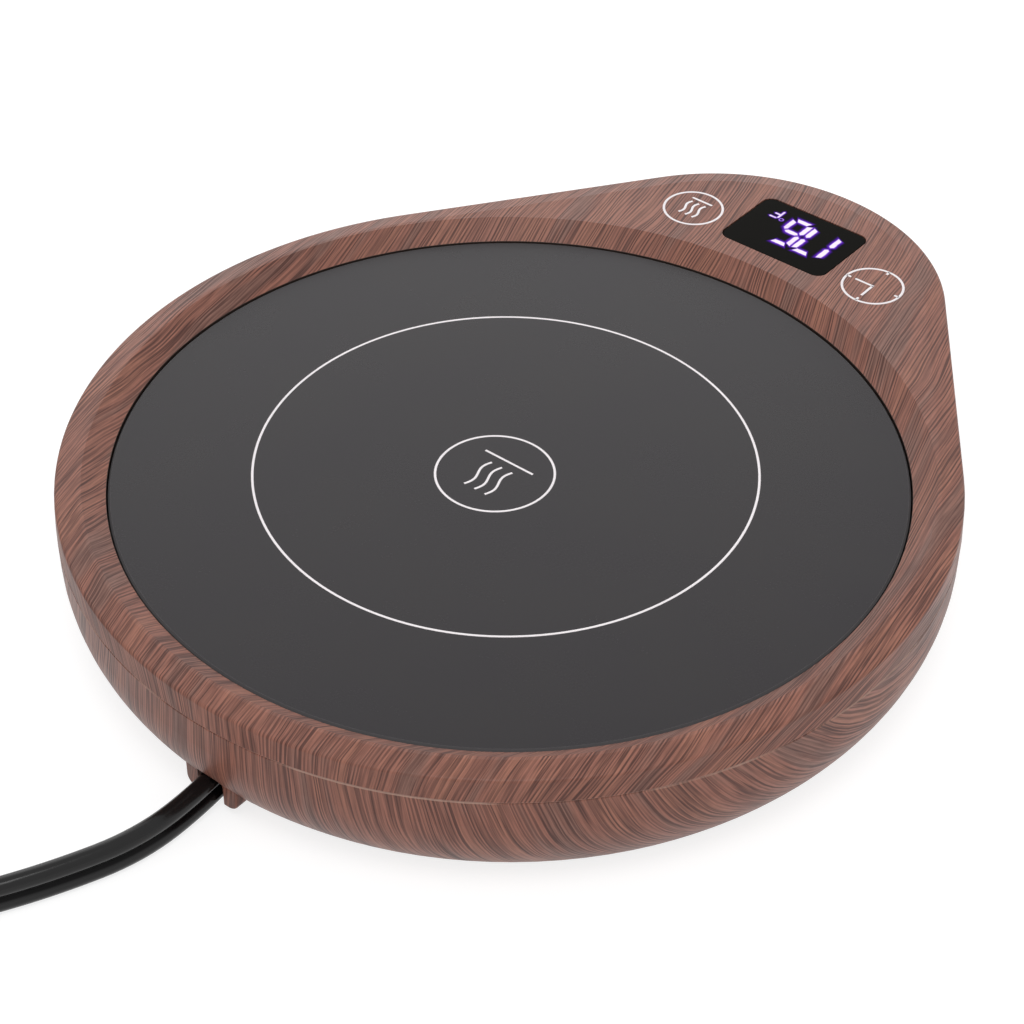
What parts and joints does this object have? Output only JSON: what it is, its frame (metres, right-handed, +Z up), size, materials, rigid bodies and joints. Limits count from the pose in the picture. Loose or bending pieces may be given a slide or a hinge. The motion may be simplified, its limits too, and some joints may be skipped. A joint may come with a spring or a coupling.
{
  "type": "mug warmer",
  "caption": "Low tear-drop electric mug warmer: round black plate sunk in a wood-grain case, touch controls and small display on the narrow end, flat cord at the back.",
  "frame": {"origin": "middle of the body's footprint, at the level of the feet's undersides", "axes": "+Z up out of the warming plate; -Y to the user and the narrow control end; +Y to the round end where the cord leaves; +X to the user's right"},
  "size_m": [0.193, 0.219, 0.0217],
  "materials": {
    "cover_wood": "satin plastic with a printed dark brown wood grain",
    "case_wood": "satin plastic with a printed dark brown wood grain",
    "black_glass": "opaque black crystallised glass, fine light specks",
    "seal_silicone": "matt black silicone",
    "spreader_aluminium": "mill finish",
    "polyimide_film": "amber heater film",
    "ceramic_wool": "white pressed ceramic fibre",
    "pressed_steel": "zinc plated",
    "screw_steel": "zinc plated",
    "sensor_epoxy": "black epoxy bead",
    "fuse_case": "tinned case",
    "smoked_window": "smoked acrylic, dark when unlit",
    "gasket_foam": "black foam",
    "display_housing": "grey-black segment housing",
    "circuit_board": "green solder mask",
    "chip_epoxy": "moulded black epoxy",
    "touch_foam": "conductive foam",
    "capacitor_box": "ochre box",
    "capacitor_sleeve": "dark blue sleeve",
    "varistor_coat": "blue dipped coat",
    "fuse_box": "black moulding",
    "ribbon_grey": "grey ribbon",
    "lead_black": "black insulation",
    "lead_red": "red silicone insulation",
    "lead_white": "white insulation",
    "clamp_nylon": "black nylon",
    "foot_rubber": "black rubber",
    "cord_pvc": "satin black flexible plastic",
    "tie_strap": "black nylon strap",
    "plug_pvc": "satin black flexible plastic",
    "blade_plate": "nickel plated brass"
  },
  "bodies": {
    "root": {"top_cover": "cover_wood", "bottom_case": "case_wood", "glass_plate": "black_glass", "plate_seal": "seal_silicone", "heat_spreader": "spreader_aluminium", "heating_film": "polyimide_film", "insulation_pad": "ceramic_wool", "heater_clamp": "pressed_steel", "clamp_screws": "screw_steel", "thermistor": "sensor_epoxy", "thermal_fuse": "fuse_case", "display_window": "smoked_window", "light_gasket": "gasket_foam", "led_display": "display_housing", "display_board": "circuit_board", "display_board_screws": "screw_steel", "controller_chip": "chip_epoxy", "touch_pad_heat": "touch_foam", "touch_pad_timer": "touch_foam", "power_board": "circuit_board", "power_board_screws": "screw_steel", "film_capacitor": "capacitor_box", "smoothing_capacitor": "capacitor_sleeve", "triac": "chip_epoxy", "varistor": "varistor_coat", "mains_fuse": "fuse_box", "link_ribbon": "ribbon_grey", "mains_leads": "lead_black", "heater_leads": "lead_red", "sensor_leads": "lead_white", "fuse_leads": "lead_white", "cord_clamp": "clamp_nylon", "cord_clamp_screws": "screw_steel", "case_screws": "screw_steel", "rubber_feet": "foot_rubber", "power_cord": "cord_pvc", "cord_coil": "cord_pvc", "cord_tie": "tie_strap", "plug_lead": "cord_pvc", "plug_body": "plug_pvc", "plug_blades": "blade_plate"}
  },
  "joints": []
}
